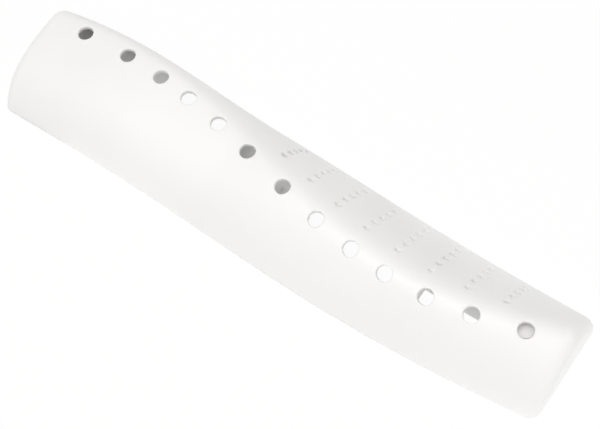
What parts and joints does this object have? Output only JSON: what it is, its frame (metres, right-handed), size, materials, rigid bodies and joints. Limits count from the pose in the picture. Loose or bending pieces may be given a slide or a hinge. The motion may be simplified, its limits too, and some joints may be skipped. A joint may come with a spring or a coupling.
{
  "type": "washing machine drum paddle",
  "caption": "Long hollow drum paddle with a waving crest, large spray holes along the crest, small drain holes on one flank and an open ribbed underside.",
  "frame": {"origin": "middle of the base rectangle, on the plane of the base rim that lies on the drum wall", "axes": "+X along the paddle from the low end to the high end, +Y to the flank with the rows of small holes, +Z from the base to the crest"},
  "size_m": [0.3, 0.0701, 0.0316],
  "materials": {
    "white_plastic": "white moulded polypropylene with a smooth satin surface"
  },
  "bodies": {
    "root": {"drum_paddle": "white_plastic"}
  },
  "joints": []
}
